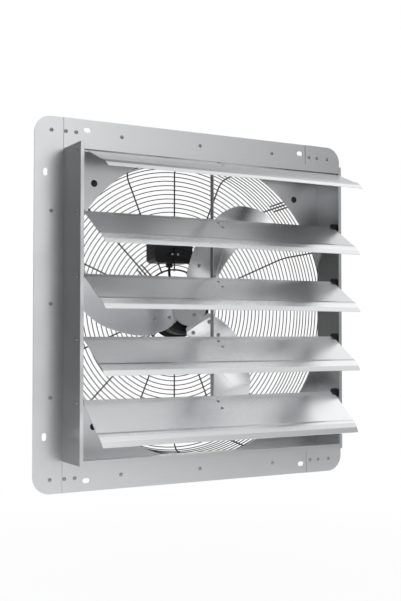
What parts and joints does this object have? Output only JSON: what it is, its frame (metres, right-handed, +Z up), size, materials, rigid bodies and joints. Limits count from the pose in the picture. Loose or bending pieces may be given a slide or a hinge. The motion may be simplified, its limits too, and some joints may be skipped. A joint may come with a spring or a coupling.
{
  "type": "commercial exhaust fan",
  "caption": "Square wall-mounted exhaust fan with linked gravity louvers in a sheet casing, a rolled-blade rotor and a wire guard that carries the motor.",
  "frame": {"origin": "centre of the fan panel's rear face, which bears on the wall, on the fan's axis", "axes": "+X right seen from outside, +Y into the building along the fan's axis, +Z up"},
  "size_m": [0.768, 0.3596, 0.768],
  "materials": {
    "casing_sheet": "satin rolled sheet",
    "panel_sheet": "satin rolled sheet",
    "louver_sheet": "satin rolled sheet",
    "blade_sheet": "smooth rolled sheet",
    "hub_metal": "satin",
    "rivet_metal": "bright",
    "linkage_steel": "dull plated",
    "bush_plastic": "moulded",
    "guard_wire": "black powder coat",
    "black_steel": "black",
    "plated_steel": "zinc plated",
    "motor_paint": "black paint",
    "bright_steel": "ground",
    "core_steel": "laminated",
    "box_plastic": "moulded",
    "lead_rubber": "smooth"
  },
  "bodies": {
    "casing": {"casing_left": "casing_sheet", "casing_right": "casing_sheet", "casing_top": "casing_sheet", "casing_bottom": "casing_sheet", "fan_panel": "panel_sheet", "flange_rivets": "rivet_metal", "pivot_bushes": "bush_plastic", "pivot_pins": "rivet_metal", "guard_bolts": "black_steel", "guard_washers": "plated_steel", "guard_nuts": "plated_steel", "guard_spokes": "guard_wire", "guard_face_rings": "guard_wire", "guard_side_rings": "guard_wire", "guard_centre_ring": "guard_wire", "motor_loops": "guard_wire", "corner_loops": "guard_wire", "motor_plate": "motor_paint", "motor_can": "motor_paint", "motor_front_cap": "motor_paint", "motor_rear_cap": "motor_paint", "case_bolts": "plated_steel", "motor_washers": "plated_steel", "motor_screws": "plated_steel", "bearings": "bright_steel", "stator": "core_steel", "control_box": "box_plastic", "control_lid": "box_plastic", "lid_screws": "plated_steel", "box_saddles": "box_plastic", "saddle_screws": "plated_steel", "cable_gland": "box_plastic", "motor_lead": "lead_rubber"},
    "louver_1": {"louver_1": "louver_sheet", "bracket_1": "linkage_steel", "bracket_rivets_1": "rivet_metal"},
    "louver_2": {"louver_2": "louver_sheet", "bracket_2": "linkage_steel", "bracket_rivets_2": "rivet_metal"},
    "louver_3": {"louver_3": "louver_sheet", "bracket_3": "linkage_steel", "bracket_rivets_3": "rivet_metal"},
    "louver_4": {"louver_4": "louver_sheet", "bracket_4": "linkage_steel", "bracket_rivets_4": "rivet_metal"},
    "louver_5": {"louver_5": "louver_sheet", "bracket_5": "linkage_steel", "bracket_rivets_5": "rivet_metal"},
    "tie_bar": {"tie_bar": "linkage_steel", "tie_pins": "rivet_metal"},
    "fan": {"shaft": "bright_steel", "rotor_core": "core_steel", "hub": "hub_metal", "set_screw": "bright_steel", "spider": "hub_metal", "hub_rivets": "rivet_metal", "blade_1": "blade_sheet", "blade_2": "blade_sheet", "blade_3": "blade_sheet", "blade_rivets": "rivet_metal"}
  },
  "joints": [
    {"name": "louver_3_hinge", "type": "hinge", "parent": "casing", "child": "louver_3", "pos_m": [0, -0.07345, 0.0552], "axis": [1, 0, 0], "range_deg": [-0.6, 48]},
    {"name": "louver_1_hinge", "type": "hinge", "parent": "casing", "child": "louver_1", "pos_m": [0, -0.07345, 0.3063], "axis": [1, 0, 0], "range_deg": [-0.73, 58.01]},
    {"name": "louver_2_hinge", "type": "hinge", "parent": "casing", "child": "louver_2", "pos_m": [0, -0.07345, 0.18075], "axis": [1, 0, 0], "range_deg": [-0.61, 48.01]},
    {"name": "louver_4_hinge", "type": "hinge", "parent": "casing", "child": "louver_4", "pos_m": [0, -0.07345, -0.07035], "axis": [1, 0, 0], "range_deg": [-0.59, 46.51]},
    {"name": "louver_5_hinge", "type": "hinge", "parent": "casing", "child": "louver_5", "pos_m": [0, -0.07345, -0.1959], "axis": [1, 0, 0], "range_deg": [-0.52, 40.51]},
    {"name": "tie_bar_pivot", "type": "hinge", "parent": "louver_3", "child": "tie_bar", "pos_m": [0, -0.05845, 0.03911], "axis": [1, 0, 0], "range_deg": [-48.01, 0.61]},
    {"name": "fan_spin", "type": "hinge", "parent": "casing", "child": "fan", "pos_m": [0, 0, 0], "axis": [0, 1, 0], "continuous": true}
  ],
  "couplings": [
    {"joint": "louver_1_hinge", "follows": "louver_3_hinge", "ratio": 1.2083},
    {"joint": "louver_2_hinge", "follows": "louver_3_hinge", "ratio": 1},
    {"joint": "louver_4_hinge", "follows": "louver_3_hinge", "ratio": 0.96875},
    {"joint": "louver_5_hinge", "follows": "louver_3_hinge", "ratio": 0.84375},
    {"joint": "tie_bar_pivot", "follows": "louver_3_hinge", "ratio": -1}
  ]
}
